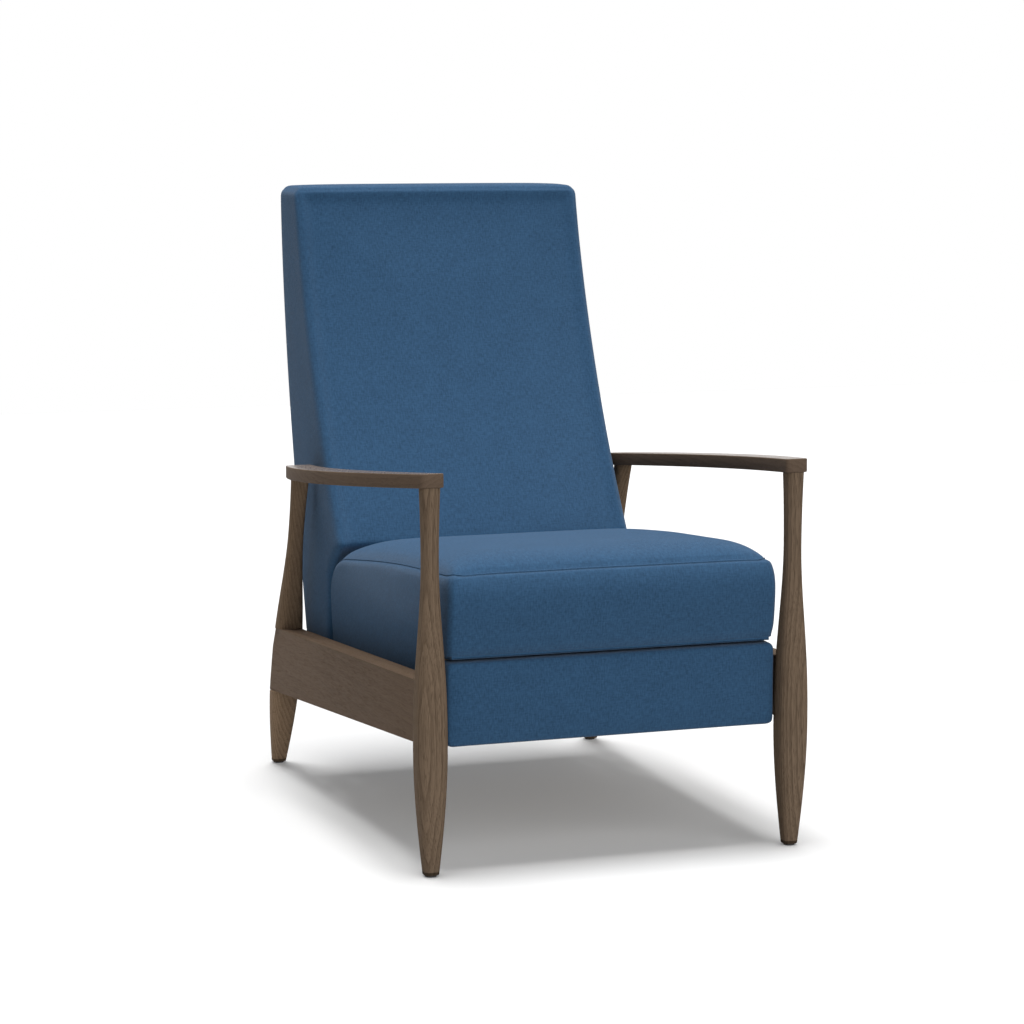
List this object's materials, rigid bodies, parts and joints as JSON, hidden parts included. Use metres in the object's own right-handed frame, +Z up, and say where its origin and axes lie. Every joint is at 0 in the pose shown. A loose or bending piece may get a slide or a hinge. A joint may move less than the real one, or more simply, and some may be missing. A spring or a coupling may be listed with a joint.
{
  "type": "push-back recliner armchair",
  "caption": "High-leg push-back recliner with a bowed-arm wooden show frame, gliding seat, reclining back and a footrest on scissor linkages.",
  "frame": {"origin": "middle of the footprint on the floor", "axes": "+X to the viewer's right when facing the chair, +Y towards the back, +Z up; the chair faces -Y"},
  "size_m": [0.74, 0.9825, 1.037],
  "materials": {
    "walnut_leg": "satin, open vertical grain",
    "walnut_arm": "satin, lighter on top",
    "walnut_rail": "satin, grain along the rail",
    "hidden_hardwood": "sawn",
    "beech_dowel": "turned",
    "glide_plastic": "moulded",
    "zinc_steel": "zinc plated",
    "runner_nylon": "moulded",
    "frame_hardwood": "sawn",
    "webbing": "woven jute and elastic",
    "blue_fabric": "smooth fine weave",
    "blue_fabric_panel": "smooth fine weave, stretched",
    "black_steel": "powder coated",
    "dark_steel": "powder coated",
    "bright_rivet": "bright"
  },
  "bodies": {
    "frame": {"front_leg_left": "walnut_leg", "front_leg_right": "walnut_leg", "rear_leg_left": "walnut_leg", "rear_leg_right": "walnut_leg", "arm_left": "walnut_arm", "arm_right": "walnut_arm", "side_rail_left": "walnut_rail", "side_rail_right": "walnut_rail", "front_stretcher": "hidden_hardwood", "rear_stretcher": "hidden_hardwood", "corner_blocks": "hidden_hardwood", "arm_dowels": "beech_dowel", "floor_glides": "glide_plastic", "track_channel_left": "zinc_steel", "track_channel_right": "zinc_steel"},
    "seat": {"track_slide_left": "runner_nylon", "track_slide_right": "runner_nylon", "seat_board_left": "frame_hardwood", "seat_board_right": "frame_hardwood", "seat_board_front": "frame_hardwood", "seat_board_rear": "frame_hardwood", "seat_nose_board": "frame_hardwood", "seat_webbing": "webbing", "seat_cushion": "blue_fabric", "seat_side_cover_left": "blue_fabric_panel", "seat_side_cover_right": "blue_fabric_panel", "hinge_arm_left": "black_steel", "hinge_arm_right": "black_steel", "hinge_pins": "bright_rivet", "linkage_plate_left": "black_steel", "linkage_plate_right": "black_steel", "plate_rivets": "bright_rivet"},
    "back": {"back_upholstery": "blue_fabric", "back_post_left": "frame_hardwood", "back_post_right": "frame_hardwood", "back_rail_bottom": "frame_hardwood", "back_rail_middle": "frame_hardwood", "back_rail_top": "frame_hardwood", "back_webbing": "webbing", "back_bracket_left": "black_steel", "back_bracket_right": "black_steel"},
    "drive_linkage": {"drive_link_left": "dark_steel", "drive_link_right": "dark_steel", "knee_rod": "dark_steel"},
    "control_linkage": {"control_link_left": "dark_steel", "control_link_right": "dark_steel", "control_rivets": "bright_rivet"},
    "lift_linkage": {"lift_link_left": "dark_steel", "lift_link_right": "dark_steel", "lift_rivets": "bright_rivet"},
    "heel_linkage": {"heel_link_left": "dark_steel", "heel_link_right": "dark_steel"},
    "footrest": {"footrest_pad": "blue_fabric", "footrest_board": "frame_hardwood", "footrest_bracket_left": "black_steel", "footrest_bracket_right": "black_steel", "bracket_rivets": "bright_rivet"}
  },
  "joints": [
    {"name": "seat_glide", "type": "slide", "parent": "frame", "child": "seat", "axis": [0, -0.9956, 0.0941], "range_m": [0, 0.07]},
    {"name": "back_recline", "type": "hinge", "parent": "seat", "child": "back", "pos_m": [0, 0.22325, 0.222], "axis": [-1, 0, 0], "range_deg": [0, 30]},
    {"name": "drive_swing", "type": "hinge", "parent": "seat", "child": "drive_linkage", "pos_m": [0, -0.31675, 0.301], "axis": [-1, 0, 0], "range_deg": [0, 131]},
    {"name": "control_swing", "type": "hinge", "parent": "seat", "child": "control_linkage", "pos_m": [0, -0.38175, 0.303], "axis": [-1, 0, 0], "range_deg": [0, 134.5]},
    {"name": "lift_unfold", "type": "hinge", "parent": "drive_linkage", "child": "lift_linkage", "pos_m": [0, -0.11575, 0.215], "axis": [1, 0, 0], "range_deg": [0, 120]},
    {"name": "heel_unfold", "type": "hinge", "parent": "control_linkage", "child": "heel_linkage", "pos_m": [0, -0.21725, 0.237], "axis": [1, 0, 0], "range_deg": [0, 116.5]},
    {"name": "footrest_tilt", "type": "hinge", "parent": "lift_linkage", "child": "footrest", "pos_m": [0, -0.34825, 0.2245], "axis": [-1, 0, 0], "range_deg": [0, 82.5]}
  ],
  "couplings": [
    {"joint": "drive_swing", "follows": "seat_glide", "rad_per_m": 32.538},
    {"joint": "control_swing", "follows": "seat_glide", "rad_per_m": 33.411},
    {"joint": "lift_unfold", "follows": "seat_glide", "rad_per_m": 29.795},
    {"joint": "heel_unfold", "follows": "seat_glide", "rad_per_m": 28.923},
    {"joint": "footrest_tilt", "follows": "seat_glide", "rad_per_m": 20.445}
  ]
}
